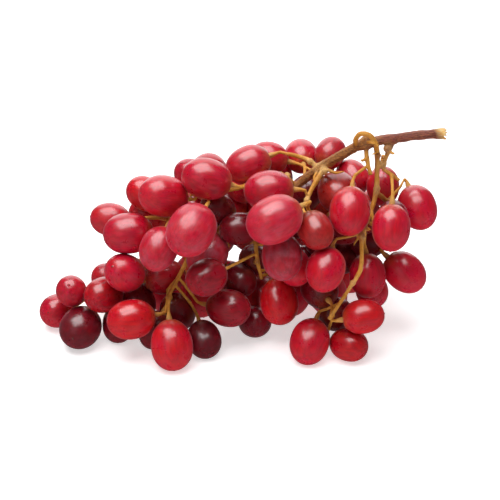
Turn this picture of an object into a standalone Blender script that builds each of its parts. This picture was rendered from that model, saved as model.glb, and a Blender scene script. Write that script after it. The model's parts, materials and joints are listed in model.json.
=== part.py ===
"""A bunch of red grapes lying on a table: one stem with its side branches, and the berries that hang on it.

Metres, +Z up. The origin is on the table, under the middle of the bunch. The main axis runs along X, from the
thin tail at -X to the cut end of the stem at +X, and the side with the largest berries faces -Y.
The places below are in millimetres, and the sketch that they come from is stretched to the bunch's sizes.
"""

import math

import bmesh
import bpy
import numpy as np
from mathutils import Matrix, Vector

MM = 0.001

# Overall sizes. The places in the lists below are drawn for the sketch sizes.
BUNCH_LENGTH = 180 * MM
BUNCH_DEPTH = 90 * MM
BUNCH_HEIGHT = 96 * MM
SKETCH_LENGTH = 180 * MM
SKETCH_DEPTH = 90 * MM
SKETCH_HEIGHT = 96 * MM

# A berry of size 1, from stem end to tip and across.
BERRY_LENGTH = 22.5 * MM
BERRY_WIDTH = 18.0 * MM
BERRY_SUBDIVISIONS = 2

# Stem widths.
PEDUNCLE_WIDTH = 4.4 * MM
KNOT_WIDTH = 6.6 * MM
AXIS_TIP_WIDTH = 2.0 * MM
BRANCH_WIDTH = 2.6 * MM
BRANCH_TIP_WIDTH = 1.8 * MM
PEDICEL_WIDTH = 1.5 * MM
COLLAR_WIDTH = 2.8 * MM
TWIG_STEP = 4.2 * MM

# Gaps between pieces that lie close together, and how deep soft fruit is pressed.
CLEARANCE = 0.35 * MM
TWIG_CLEARANCE = 0.55 * MM
PEDICEL_GAP = 0.35 * MM
PEDICEL_LEAD = 2.4 * MM
PEDICEL_LEAST_STEPS = 3
TIP_OVERLAP = 0.35
PRESSED_FLAT = 0.45 * MM
JOINED_DEPTH = 2.2 * MM

# How the berries and twigs settle: each share is the part of a distance that is covered in one step.
SETTLING_STEPS = 400
LATE_FROM = 0.75 * SETTLING_STEPS
BERRY_RETURN = 0.02
BRANCH_RETURN = 0.05
STRAIGHTENING = 0.2
LATE_STRAIGHTENING = 0.02
BRANCH_GIVES = 0.3
PEDICEL_GIVES = 0.75
LEAD_PULL = 0.5
SECOND_LEAD_PULL = 0.3
LATE_SECOND_LEAD_PULL = 0.05
RESTING_REACH = 2.5 * MM

# How a pedicel picks its branch point: what is added to its length for turning away from the berry's
# direction, for each pedicel that is there already, and for being nearer than the least length.
TURNING_COST = 11 * MM
SHARING_COST = 4 * MM
SHORT_COST = 20 * MM
PEDICEL_LEAST_LENGTH = 4 * MM
LEAD_SHARE = 0.4
LEAD_MOST = 5 * MM

# Fineness of the curves and of the search for how two berries touch.
CURVE_STEPS = 24
CONTACT_SHARES = np.linspace(0.3, 0.7, 7)
TINY = 1e-9

ORIGIN_NAME = "table_point"

# Berries: x, y, z of the middle, the turn about Z and the rise of the direction from stem end to tip, and
# size. Each group is named for where it sits.
BERRIES = {
    "tail": [
        (-86, -6, 9, -110, 25, 0.85),
        (-76, -15, 22, -90, 50, 0.75),
        (-73, -22, 9, -100, 5, 1.00),
        (-60, -18, 24, -125, 10, 0.86),
        (-64, 6, 17, -130, 60, 0.77),
    ],
    "left": [
        (-52, -17, 31, -125, 40, 0.90),
        (-60, 5, 49, -180, 10, 0.82),
        (-50, -13, 51, -170, 0, 0.98),
        (-44, 6, 60, -175, 35, 0.82),
        (-49, -33, 19, -160, 0, 0.95),
        (-46, 8, 49, -170, 20, 0.80),
    ],
    "top": [
        (-34, -10, 65, -150, 20, 1.00),
        (-23, 9, 69, 155, 20, 0.78),
        (-17, -9, 67, -180, 15, 0.98),
        (11, -12, 71, -175, 0, 0.96),
        (4, 10, 74, -170, -20, 0.92),
        (10, 20, 70, 175, 10, 0.80),
        (25, 25, 68, 95, 0, 0.84),
        (38, 23, 68, 65, 15, 0.75),
    ],
    "front": [
        (-22, -31, 62, -115, -20, 1.11),
        (-14, -15, 41, -125, -35, 0.96),
        (-37, -25, 50, -110, -35, 0.90),
        (-33, -15, 30, -160, 0, 0.85),
        (-16, -26, 39, -130, 5, 0.88),
        (14, -29, 65, -160, -20, 1.10),
        (17, -26, 47, -85, -45, 0.94),
        (24, -15, 34, -65, -15, 0.86),
    ],
    "wing": [
        (38, 7, 62, -90, 0, 0.98),
        (45, -20, 65, -100, -50, 0.95),
        (30, -20, 60, -65, -20, 0.82),
        (63, -25, 60, -95, -60, 0.90),
        (78, 3, 56, -65, -40, 0.93),
        (62, 13, 63, -90, -60, 0.80),
        (51, 19, 64, -60, -25, 0.80),
    ],
    "hanging": [
        (72, -12, 31, -25, -35, 0.92),
        (35, -32, 44, -110, -35, 0.90),
        (55, -17, 32, -80, -60, 0.88),
        (52, -34, 21, 0, 10, 0.82),
        (58, -8, 20, -80, -20, 0.80),
    ],
    "floor": [
        (-33, -31, 11, -80, -50, 1.00),
        (-20, -31, 8, -75, -20, 0.82),
        (32, -33, 10, -110, -35, 0.94),
        (45, -34, 8, -40, 10, 0.80),
        (-7, -23, 19, -25, 5, 0.91),
        (14, -18, 18, -80, -40, 0.95),
        (7, -14, 9, -70, 30, 0.80),
    ],
}

# Berries deep in the bunch, which press on each other: x, y, z of the middle, and size. Each row of the
# table is one group, joined where they touch. Their tips point away from the nearest branch.
CORE_GROUPS = [
    [(-62, -20, 7, 0.78), (-46, -12, 18, 0.82)],
    [(-42, -29, 7, 0.80), (-27, -15, 17, 0.85)],
    [(-3, -8, 25, 0.82), (5, 2, 30, 0.80)],
    [(31, -20, 21, 0.88), (42, -18, 12, 0.85)],
    [(-9, 0, 53, 0.80), (-1, -5, 46, 0.80)],
    [(41, -8, 53, 0.80), (53, -3, 57, 0.80), (64, -5, 58, 0.75)],
    [(56, -2, 40, 0.80), (46, 0, 34, 0.80), (35, -2, 41, 0.82), (28, -6, 32, 0.82)],
    [(30, 13, 58, 0.85), (22, 8, 47, 0.80)],
]

# Rows of berries on the far side and underneath: place of the first berry, step along X, how many berries.
FAR_ROWS = {
    "far_low": ((-60, 24, 9), 17, 8),
    "far_middle": ((-50, 34, 25), 17, 7),
    "far_high": ((-42, 32, 42), 17, 7),
    "far_top": ((-20, 28, 56), 17, 3),
    "under": ((-42, 6, 9), 17, 6),
}
# The sizes are taken in turn, and the waves shift each berry a little off its row.
FAR_SIZES = (0.95, 0.88, 1.0, 0.84)
FAR_WOBBLE = 2
FAR_WAVE = 2.4
FAR_DEPTH_WAVE = 1.7

# The main axis, from the cut end to the tail, and the side branches. A branch starts from the nearest point
# of the axis and the branches before it. Places in millimetres.
MAIN_AXIS = [
    (86, -2, 94), (81, -2, 94), (75, -2, 93), (68, -2, 92), (60, -2, 91), (54, -2, 91), (49, -1, 88),
    (43, 0, 83), (37, 2, 79), (31, 3, 74), (24, 3, 67), (14, 3, 59), (2, 3, 52), (-12, 2, 45), (-26, 0, 38),
    (-40, -3, 31), (-52, -5, 26), (-62, -6, 22),
]
KNOT_POINT = 5
BRANCHES = {
    "wing": [
        (57, -3, 90), (58, -4, 84), (58, -5, 77), (58, -8, 70), (56, -11, 62), (53, -14, 56), (51, -20, 53),
        (51, -24, 47), (51, -27, 41), (47, -30, 35), (42, -33, 28), (37, -36, 21),
    ],
    "spur": [(65, -3, 90), (62, -4, 85), (60, -4, 78), (64, -5, 76), (68, -5, 73)],
    "thin": [(53, -4, 89), (53, -6, 84), (55, -8, 77)],
    "shoulder": [(33, 3, 77), (29, 6, 78), (24, 8, 79), (19, 8, 80)],
    "ridge": [(19, 4, 72), (13, 0, 75), (4, -1, 70), (-6, 0, 66), (-14, 1, 66), (-24, -1, 64)],
    "face": [(35, -2, 75), (31, -6, 72), (27, -12, 66), (29, -16, 61)],
    "middle": [(4, 1, 52), (5, -5, 44), (6, -9, 35), (8, -11, 27)],
    "left": [(-20, 0, 40), (-26, -8, 34), (-31, -19, 28), (-34, -25, 25)],
    "left_high": [(-14, 1, 47), (-26, -4, 52), (-38, -5, 55), (-46, -4, 54)],
    "right_low": [(57, -6, 68), (66, 3, 57), (68, 3, 46), (66, -2, 38)],
    "far_right": [(36, 3, 76), (34, 12, 68), (40, 18, 60), (44, 18, 52), (42, 19, 38), (38, 18, 24)],
    "far_middle": [(12, 4, 57), (12, 14, 47), (10, 18, 36), (8, 18, 22)],
    "far_left": [(-18, 2, 41), (-22, 12, 40), (-26, 16, 32), (-28, 14, 20)],
    "low_middle": [(-6, 2, 47), (-8, 1, 36), (-9, 0, 26)],
    "far_tail": [(-44, -3, 28), (-48, 6, 28), (-50, 12, 20)],
}

STRETCH = np.array(
    [BUNCH_LENGTH / SKETCH_LENGTH, BUNCH_DEPTH / SKETCH_DEPTH, BUNCH_HEIGHT / SKETCH_HEIGHT]
)

# Name: colour (red, green, blue), roughness.
FINISHES = {
    "berry_skin": ((0.42, 0.02, 0.06), 0.35),
    "berry_dark_skin": ((0.16, 0.01, 0.03), 0.38),
    "stem_wood": ((0.36, 0.19, 0.08), 0.70),
}


def placed(points):
    """Sketch places in millimetres, stretched to the bunch's sizes, in metres."""
    return np.array(points, float) * STRETCH * MM


class Berries:
    """The berries' centres, which settle, and their fixed directions and sizes."""

    def __init__(self):
        self.names = []
        self.centres = np.zeros((0, 3))
        self.axes = np.zeros((0, 3))
        self.sizes = np.zeros(0)
        self.joined = []
        self.hidden = []

    def add(self, name, place, turn, rise, size):
        """One berry; the returned number stands for it."""
        turn, rise = math.radians(turn), math.radians(rise)
        axis = [math.cos(rise) * math.cos(turn), math.cos(rise) * math.sin(turn), math.sin(rise)]
        self.names.append(name)
        self.centres = np.vstack([self.centres, placed(place)])
        self.axes = np.vstack([self.axes, axis])
        self.sizes = np.append(self.sizes, size)
        return len(self.names) - 1

    def add_group(self, name, rows):
        """Hidden berries that press on each other in a chain and become one object."""
        numbers = [self.add(name, row[:3], 0, 0, row[3]) for row in rows]
        self.joined += list(zip(numbers, numbers[1:]))
        self.hidden += numbers

    def face_away(self, twigs):
        """Turn the hidden berries so that their tips point away from the nearest branch."""
        for number in self.hidden:
            twig, point = nearest(self.centres[number], twigs)
            away = self.centres[number] - twig.points[point]
            self.axes[number] = away / np.linalg.norm(away)

    def finish(self, form):
        """Work out each berry's half sizes, its rotation and how far its lowest corner is below it."""
        self.half_width = self.sizes * BERRY_WIDTH / 2
        self.half_length = self.sizes * BERRY_LENGTH / 2
        self.start = self.centres.copy()
        self.rotations = [Vector(axis).to_track_quat("Z", "Y").to_matrix() for axis in self.axes]
        self.drop = np.zeros(len(self.names))
        for number, rotation in enumerate(self.rotations):
            corners = form * self.half_sizes(number)
            self.drop[number] = -(corners @ np.array(rotation).T)[:, 2].min()

    def half_sizes(self, number):
        return np.array([self.half_width[number], self.half_width[number], self.half_length[number]])

    def stem_ends(self, beyond=0.0):
        """The points at the berries' stem ends, or a distance beyond them."""
        return self.centres - self.axes * (self.half_length + beyond)[:, None]


def gather_berries():
    """All the berries at their sketched places."""
    berries = Berries()
    for group, rows in BERRIES.items():
        for number, row in enumerate(rows, 1):
            berries.add(f"berry_{group}_{number:02d}", row[:3], *row[3:])
    for number, rows in enumerate(CORE_GROUPS, 1):
        berries.add_group(f"berries_core_{number:02d}", rows)
    count = 0
    for group, ((x, y, z), step, number_of_berries) in FAR_ROWS.items():
        rows = []
        for number in range(number_of_berries):
            wobble = FAR_WOBBLE * math.sin(FAR_WAVE * count)
            rows.append(
                (
                    x + step * number + wobble,
                    y + FAR_WOBBLE * math.cos(FAR_DEPTH_WAVE * count),
                    z + wobble * (z > BERRY_WIDTH / MM),
                    FAR_SIZES[count % len(FAR_SIZES)],
                )
            )
            count += 1
        berries.add_group(f"berries_{group}", rows)
    return berries


def steps_between(points, step):
    """Points along a smooth curve through the given ones, about one step apart."""
    points = np.asarray(points, float)
    ends = np.vstack([2 * points[0] - points[1], points, 2 * points[-1] - points[-2]])
    fine = []
    for before, start, stop, after in zip(ends, ends[1:], ends[2:], ends[3:]):
        for t in np.linspace(0, 1, CURVE_STEPS, endpoint=False):
            fine.append(
                0.5
                * (
                    2 * start
                    + (stop - before) * t
                    + (2 * before - 5 * start + 4 * stop - after) * t**2
                    + (3 * start - before - 3 * stop + after) * t**3
                )
            )
    fine.append(points[-1])
    fine = np.array(fine)
    along = np.append(0, np.cumsum(np.linalg.norm(np.diff(fine, axis=0), axis=1)))
    count = max(2, round(along[-1] / step) + 1)
    marks = np.linspace(0, along[-1], count)
    return np.column_stack([np.interp(marks, along, fine[:, axis]) for axis in range(3)])


class Twig:
    """A chain of points: the main axis, a side branch, or a berry's pedicel."""

    def __init__(self, name, points, widths, root=None, berry=None):
        self.name = name
        self.points = points
        self.start = points.copy()
        self.radii = np.interp(np.linspace(0, 1, len(points)), np.linspace(0, 1, len(widths)), widths) / 2
        self.root = root
        self.berry = berry


def root_place(root):
    """Where a twig starts inside its parent: on one of its points, and a little short of a tip."""
    parent, number = root
    if number < len(parent.points) - 1:
        return parent.points[number]
    return parent.points[-1] + TIP_OVERLAP * (parent.points[-2] - parent.points[-1])


def nearest(point, twigs):
    """The twig and the number of its point that lie nearest to a point."""
    best = min(
        (float(np.linalg.norm(twig.points - point, axis=1).min()), order) for order, twig in enumerate(twigs)
    )
    twig = twigs[best[1]]
    return twig, int(np.linalg.norm(twig.points - point, axis=1).argmin())


def grow_branches():
    """The main axis and the side branches, each rooted on the ones before it."""
    route = placed(MAIN_AXIS)
    points = steps_between(route, TWIG_STEP)
    axis = Twig("main_axis", points, [PEDUNCLE_WIDTH, PEDUNCLE_WIDTH, BRANCH_WIDTH, AXIS_TIP_WIDTH])
    knot = int(np.linalg.norm(points - route[KNOT_POINT], axis=1).argmin())
    axis.radii[knot] = KNOT_WIDTH / 2
    twigs = [axis]
    for name, route in BRANCHES.items():
        points = steps_between(placed(route), TWIG_STEP)
        root = nearest(points[0], twigs)
        points[0] = root_place(root)
        twigs.append(Twig(name, points, [BRANCH_WIDTH, BRANCH_TIP_WIDTH], root))
    return twigs


def grow_pedicels(berries, twigs):
    """One pedicel for each berry, from the branch point that its stem end looks at."""
    pedicels = []
    places = [(twig, number) for twig in twigs for number in range(1, len(twig.points))]
    spots = np.array([twig.points[number] for twig, number in places])
    taken = np.zeros(len(places))
    ends = berries.stem_ends(PEDICEL_GAP)
    for berry, (end, axis) in enumerate(zip(ends, berries.axes)):
        away = end - spots
        length = np.linalg.norm(away, axis=1)
        turned = 1 - away @ axis / np.maximum(length, TINY)
        short = length < PEDICEL_LEAST_LENGTH
        cost = length + TURNING_COST * turned + SHARING_COST * taken + SHORT_COST * short
        chosen = int(cost.argmin())
        taken[chosen] += 1
        lead = end - axis * min(LEAD_SHARE * length[chosen], LEAD_MOST)
        step = min(TWIG_STEP, length[chosen] / PEDICEL_LEAST_STEPS)
        points = steps_between([spots[chosen], lead, end], step)
        widths = [PEDICEL_WIDTH, PEDICEL_WIDTH, PEDICEL_WIDTH, COLLAR_WIDTH]
        pedicels.append(Twig(f"pedicel_{berry:02d}", points, widths, places[chosen], berry))
    return pedicels


def pairs_within_reach(berries):
    """The numbers of the berries that could touch each other."""
    first, second = np.triu_indices(len(berries.names), 1)
    reach = berries.half_length[first] + berries.half_length[second] + CLEARANCE
    near = np.linalg.norm(berries.centres[first] - berries.centres[second], axis=1) < reach
    count = len(berries.names)
    near |= np.isin(first * count + second, [a * count + b for a, b in berries.joined])
    return first[near], second[near]


def contact_scale(berries, shapes, first, second):
    """By how much both ellipsoids of each pair would be scaled about their middles to just touch."""
    apart = berries.centres[second] - berries.centres[first]
    best = np.zeros(len(first))
    for share in CONTACT_SHARES:
        mixed = (1 - share) * shapes[first] + share * shapes[second]
        solved = np.linalg.solve(mixed, apart[:, :, None])[:, :, 0]
        best = np.maximum(best, share * (1 - share) * np.einsum("ij,ij->i", apart, solved))
    return np.sqrt(best)


def push_berries_apart(berries, shapes, joined):
    """Move each pair apart until it just touches, and each joined pair until it overlaps."""
    first, second = pairs_within_reach(berries)
    scale = contact_scale(berries, shapes, first, second)
    apart = berries.centres[second] - berries.centres[first]
    distance = np.linalg.norm(apart, axis=1)
    missing = distance * (1 / scale - 1)
    together = np.array([(a, b) in joined for a, b in zip(first, second)])
    missing = np.where(together, missing - JOINED_DEPTH, np.maximum(missing, 0))
    move = apart * (0.5 * missing / distance)[:, None]
    np.add.at(berries.centres, first, -move)
    np.add.at(berries.centres, second, move)


def push_twigs_clear(berries, twig):
    """Move a twig's points out of the berries, and the berries a little out of its way."""
    fixed = 1
    last = len(twig.points) - (twig.berry is not None)
    points = twig.points[fixed:last]
    if not len(points):
        return
    offset = points[:, None, :] - berries.centres[None]
    local = np.einsum("nji,pnj->pni", berries.turned, offset)
    half = np.stack([berries.half_width, berries.half_width, berries.half_length], axis=1)[None]
    half = half + (twig.radii[fixed:last, None, None] + TWIG_CLEARANCE)
    scaled = np.linalg.norm(local / half, axis=2)
    slope = local / half**2
    steep = np.linalg.norm(slope, axis=2)
    steep = np.maximum(steep, TINY)
    depth = np.where(scaled < 1, (1 - scaled) * scaled / steep, 0)
    normal = np.einsum("nij,pnj->pni", berries.turned, slope / steep[:, :, None])
    moves = normal * depth[:, :, None]
    gives = PEDICEL_GIVES if twig.berry is not None else BRANCH_GIVES
    twig.points[fixed:last] += gives * moves.sum(axis=1)
    berries.centres -= (1 - gives) * moves.sum(axis=0)


def settle(berries, twigs, pedicels):
    """Let the berries and twigs find room: no two pieces overlap, and the lowest berries lie on the table."""
    joined = set(berries.joined)
    berries.turned = np.array([np.array(rotation) for rotation in berries.rotations])
    half = np.stack([berries.half_width, berries.half_width, berries.half_length], axis=1) + CLEARANCE / 2
    shapes = np.einsum("nij,nj,nkj->nik", berries.turned, half**2, berries.turned)
    resting = berries.start[:, 2] < berries.drop + RESTING_REACH
    for step in range(SETTLING_STEPS):
        late = step > LATE_FROM
        if not late:
            berries.centres += BERRY_RETURN * (berries.start - berries.centres)
        push_berries_apart(berries, shapes, joined)
        for twig in twigs + pedicels:
            if twig.name == "main_axis" and late:
                continue
            middle = (twig.points[:-2] + twig.points[2:]) / 2
            straighter = LATE_STRAIGHTENING if late else STRAIGHTENING
            twig.points[1:-1] += straighter * (middle - twig.points[1:-1])
            if twig.berry is None:
                twig.points[1:] += BRANCH_RETURN * (twig.start - twig.points)[1:]
        for twig in twigs + pedicels:
            push_twigs_clear(berries, twig)
            height = twig.points[1:, 2]
            twig.points[1:, 2] = np.maximum(height, twig.radii[1:] + TWIG_CLEARANCE)
        floor = berries.drop - PRESSED_FLAT
        height = berries.centres[:, 2]
        height = np.where(resting, floor, np.maximum(height, berries.drop + CLEARANCE))
        berries.centres[:, 2] = height
        ends = berries.stem_ends(PEDICEL_GAP)
        for twig in twigs[1:] + pedicels:
            twig.points[0] = root_place(twig.root)
            if twig.berry is not None:
                twig.points[-1] = ends[twig.berry]
                lead = PEDICEL_LEAD * berries.axes[twig.berry]
                second_pull = LATE_SECOND_LEAD_PULL if late else SECOND_LEAD_PULL
                for back, pull in ((1, LEAD_PULL), (2, second_pull)):
                    if back < len(twig.points) - 1:
                        target = twig.points[-1] - back * lead
                        twig.points[-1 - back] += pull * (target - twig.points[-1 - back])


def finish_material(name):
    """The material of one finish, made when it is first asked for."""
    colour, roughness = FINISHES[name]
    material = bpy.data.materials.get(name) or bpy.data.materials.new(name)
    material.use_nodes = True
    shader = material.node_tree.nodes["Principled BSDF"]
    shader.inputs["Base Color"].default_value = (*colour, 1)
    shader.inputs["Roughness"].default_value = roughness
    shader.inputs["Metallic"].default_value = 0
    return material


def new_object(name, mesh, collection, material):
    """A smooth-shaded object of one material, placed from the origin point."""
    made = bpy.data.objects.new(name, mesh)
    made.parent = bpy.data.objects[ORIGIN_NAME]
    collection.objects.link(made)
    mesh.materials.append(material)
    mesh.shade_smooth()
    return made


def berry_object(name, berries, number, collection, material):
    """One berry, long way along its own Z, placed and turned. On the table it is pressed flat."""
    placing = Matrix.Translation(berries.centres[number]) @ berries.rotations[number].to_4x4()
    shape = bmesh.new()
    bmesh.ops.create_icosphere(shape, subdivisions=BERRY_SUBDIVISIONS, radius=1)
    shape.transform(Matrix.Diagonal((*berries.half_sizes(number), 1)))
    if berries.centres[number][2] < berries.drop[number]:
        to_berry = placing.inverted()
        down = to_berry.to_3x3() @ Vector((0, 0, -1))
        every = shape.verts[:] + shape.edges[:] + shape.faces[:]
        bmesh.ops.bisect_plane(
            shape, geom=every, plane_co=to_berry.translation, plane_no=down, clear_outer=True
        )
        bmesh.ops.edgenet_fill(shape, edges=[edge for edge in shape.edges if edge.is_boundary])
        bmesh.ops.recalc_face_normals(shape, faces=shape.faces)
    mesh = bpy.data.meshes.new(name)
    shape.to_mesh(mesh)
    shape.free()
    made = new_object(name, mesh, collection, material)
    made.matrix_local = placing
    return made


def hide_helper(helper):
    helper.hide_render = True
    helper.display_type = "WIRE"


def join(base, others):
    """Add helper objects to an object with one Boolean union."""
    collection = bpy.data.collections.new(f"{base.name}_joined")
    for other in others:
        collection.objects.link(other)
    union = base.modifiers.new("joined", "BOOLEAN")
    union.operation = "UNION"
    union.operand_type = "COLLECTION"
    union.solver = "EXACT"
    union.collection = collection


def shells(shape):
    """The faces of each separate closed shell of a mesh."""
    waiting = set(shape.faces)
    while waiting:
        shell = set()
        front = [waiting.pop()]
        while front:
            face = front.pop()
            shell.add(face)
            beside = {other for edge in face.edges for other in edge.link_faces} & waiting
            waiting -= beside
            front += beside
        yield list(shell)


def volume(faces):
    """Six times the signed volume inside some faces; it is below zero for a pocket's walls."""
    total = 0.0
    for face in faces:
        first = face.verts[0].co
        for second, third in zip(face.verts[1:], face.verts[2:]):
            total += first.dot(second.co.cross(third.co))
    return total


def fill_pockets(made):
    """Apply an object's union, and fill the sealed pockets left where several twigs meet."""
    bpy.context.view_layer.update()
    mesh = bpy.data.meshes.new_from_object(made.evaluated_get(bpy.context.evaluated_depsgraph_get()))
    made.modifiers.clear()
    made.data = mesh
    shape = bmesh.new()
    shape.from_mesh(mesh)
    walls = [face for faces in shells(shape) if volume(faces) < 0 for face in faces]
    bmesh.ops.delete(shape, geom=walls, context="FACES")
    shape.to_mesh(mesh)
    shape.free()


def build_berries(berries, bunch, helpers):
    """The berries as objects: the first of each name, with the others of that name joined to it."""
    made = {}
    for number, name in enumerate(berries.names):
        skin = finish_material("berry_dark_skin" if name.startswith("berries_core") else "berry_skin")
        if name not in made:
            made[name] = (berry_object(name, berries, number, bunch, skin), [])
            continue
        helper = berry_object(f"{name}_member_{number:02d}", berries, number, helpers, skin)
        hide_helper(helper)
        made[name][1].append(helper)
    for base, members in made.values():
        if members:
            join(base, members)


def tube(twig, collection, material):
    """A twig as a closed mesh tube."""
    path = bpy.data.curves.new(twig.name, "CURVE")
    path.dimensions = "3D"
    path.bevel_depth = 1
    path.bevel_resolution = 1
    path.use_fill_caps = True
    line = path.splines.new("POLY")
    line.points.add(len(twig.points) - 1)
    for point, place, radius in zip(line.points, twig.points, twig.radii):
        point.co = (*place, 1)
        point.radius = radius
    guide = bpy.data.objects.new(twig.name, path)
    collection.objects.link(guide)
    bpy.context.view_layer.update()
    mesh = bpy.data.meshes.new_from_object(guide.evaluated_get(bpy.context.evaluated_depsgraph_get()))
    bpy.data.objects.remove(guide)
    shape = bmesh.new()
    shape.from_mesh(mesh)
    bmesh.ops.remove_doubles(shape, verts=shape.verts, dist=0.00001)
    bmesh.ops.recalc_face_normals(shape, faces=shape.faces)
    shape.to_mesh(mesh)
    shape.free()
    mesh.materials.clear()
    return new_object(twig.name, mesh, collection, material)


def build_stem(twigs, pedicels, bunch, helpers):
    """The main axis, the branches and the pedicels as one object."""
    wood = finish_material("stem_wood")
    stem = tube(twigs[0], bunch, wood)
    stem.name = "stem"
    branches = [tube(twig, helpers, wood) for twig in twigs[1:] + pedicels]
    for branch in branches:
        hide_helper(branch)
    join(stem, branches)
    fill_pockets(stem)
    for branch in branches:
        bpy.data.objects.remove(branch)


def centre_on_origin(bunch):
    """Move the whole bunch so that the middle of its footprint is at the origin."""
    bpy.context.view_layer.update()
    graph = bpy.context.evaluated_depsgraph_get()
    lowest = np.full(3, np.inf)
    highest = np.full(3, -np.inf)
    for made in bunch.objects:
        if made.type != "MESH":
            continue
        mesh = made.evaluated_get(graph).to_mesh()
        corners = np.array([made.matrix_world @ corner.co for corner in mesh.vertices])
        lowest = np.minimum(lowest, corners.min(axis=0))
        highest = np.maximum(highest, corners.max(axis=0))
    middle = (lowest + highest) / 2
    bpy.data.objects[ORIGIN_NAME].location = (-middle[0], -middle[1], 0)


def arrange():
    """The settled bunch: berries, branches and pedicels."""
    form = bmesh.new()
    bmesh.ops.create_icosphere(form, subdivisions=BERRY_SUBDIVISIONS, radius=1)
    corners = np.array([corner.co for corner in form.verts])
    form.free()
    berries = gather_berries()
    twigs = grow_branches()
    berries.face_away(twigs)
    berries.finish(corners)
    pedicels = grow_pedicels(berries, twigs)
    settle(berries, twigs, pedicels)
    return berries, twigs, pedicels


def main():
    for old in list(bpy.data.objects):
        bpy.data.objects.remove(old)
    bunch = bpy.data.collections.new("bunch_of_grapes")
    helpers = bpy.data.collections.new("helpers")
    bpy.context.scene.collection.children.link(bunch)
    bpy.context.scene.collection.children.link(helpers)
    bunch.objects.link(bpy.data.objects.new(ORIGIN_NAME, None))
    berries, twigs, pedicels = arrange()
    build_berries(berries, bunch, helpers)
    build_stem(twigs, pedicels, bunch, helpers)
    centre_on_origin(bunch)


if __name__ == "__main__":
    main()
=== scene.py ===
import json
import math

import bmesh
import bpy
import numpy as np
from mathutils import Matrix, Vector
from mathutils.bvhtree import BVHTree


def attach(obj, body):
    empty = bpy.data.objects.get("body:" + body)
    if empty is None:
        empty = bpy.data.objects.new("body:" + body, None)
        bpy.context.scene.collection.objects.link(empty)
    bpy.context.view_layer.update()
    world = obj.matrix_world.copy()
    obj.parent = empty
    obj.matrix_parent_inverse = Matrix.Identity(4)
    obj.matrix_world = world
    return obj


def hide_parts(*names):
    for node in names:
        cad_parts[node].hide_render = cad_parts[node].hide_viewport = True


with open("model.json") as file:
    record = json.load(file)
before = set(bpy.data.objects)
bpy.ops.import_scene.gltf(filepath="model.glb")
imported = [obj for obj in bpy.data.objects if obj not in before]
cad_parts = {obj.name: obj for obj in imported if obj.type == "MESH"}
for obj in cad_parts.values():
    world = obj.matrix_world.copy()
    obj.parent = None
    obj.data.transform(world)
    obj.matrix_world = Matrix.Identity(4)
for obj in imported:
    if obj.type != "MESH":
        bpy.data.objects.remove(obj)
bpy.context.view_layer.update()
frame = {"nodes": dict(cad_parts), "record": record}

bl_info = {
    "name": "Bunch of Grapes",
    "version": (1, 0, 0),
    "blender": (4, 5, 0),
    "location": "View3D > Sidebar > Grapes",
    "description": "Dresses a bunch of oval red grapes in skin, bloom and bark",
    "category": "Object",
}

MM = 0.001
SLOT_OF_NODE = {part["node"]: part["material_slot"] for part in frame["record"]["subparts"]}

# The solids' own shape, which is how each grape is found in them again.
OVALNESS = 1.25
OVALNESS_SLACK = 0.03
PATCH_ERROR = 0.002
PATCH_LEAST_POINTS = 12
TABLE_TOUCH = 0.1 * MM
TABLE_LEAST = 0.02 * MM
SAME_GRAPE = 4 * MM
SMALLEST_FORM = 1e-9

# Small unevenness of each grape.
POLE_CROWDING = 0.3
LEAN_RANGE = (-0.04, 0.05)
SWELL_SHARE = 0.008
SWELL_WAVES = 5
SWELL_WAVE_RANGE = (1.2, 3.2)
SHOULDER_PLACE = 1.9
SHOULDER_SHARE = 0.3
TIP_HOLLOW_RADIUS = 1.5 * MM
TIP_POINT_RADIUS = 0.42 * MM
TIP_POINT_SHARE = 1.5
PATTERN_SPREAD = 500

# Where the random choices start, so that each run gives the same bunch.
SHAPE_SEED = 1000
PATTERN_SEED = 2000
BARK_SEED = 7
FIBRE_SEED = 5

# How each grape differs from the usual one, by the solid it stands for:
# (warmth, bloom, depth), where warmth goes from magenta to orange-red,
# bloom is how much wax is left on the skin, where 1 is a full bloom and
# more hides the colour further, and depth darkens it.
# The other grapes take a look between the least and the most.
LEAST_LOOK = (0.1, 0.35, 0.05)
MOST_LOOK = (0.6, 0.8, 0.35)
# The dark grapes deep in the bunch take less bloom and more depth; the added depth is partly their darker
# tone and partly painted shade, where the bunch shades them.
DARK_BLOOM_SHARE = 0.3
DARK_TONE_AND_PAINTED_SHADE = 0.3
LOOKS = {
    "berry_tail_02": (0.25, 0.45, 0.35),
    "berry_tail_03": (0.10, 0.50, 0.75),
    "berry_tail_04": (0.75, 0.25, 0.45),
    "berry_left_04": (0.85, 0.30, 0.10),
    "berry_left_05": (0.90, 0.25, 0.15),
    "berry_top_05": (0.15, 0.75, 0.20),
    "berry_front_01": (0.10, 2.20, 0.15),
    "berry_front_02": (0.05, 5.00, 0.30),
    "berry_front_03": (0.15, 2.60, 0.25),
    "berry_front_05": (0.15, 0.60, 0.75),
    "berry_front_06": (0.10, 1.70, 0.12),
    "berry_front_07": (0.05, 5.00, 0.45),
    "berry_floor_01": (0.70, 0.55, 0.10),
    "berry_floor_02": (0.05, 0.45, 0.90),
    "berry_floor_04": (0.90, 0.20, 0.30),
    "berry_floor_05": (0.20, 0.45, 0.75),
    "berry_floor_06": (0.95, 0.15, 0.05),
    "berry_hanging_01": (0.15, 0.30, 0.00),
    "berry_hanging_02": (0.35, 0.40, 0.15),
    "berry_hanging_04": (0.90, 0.30, 0.15),
    "berry_wing_05": (0.15, 0.20, 0.05),
    "berry_left_06": (0.60, 0.30, 0.35),
}

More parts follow.
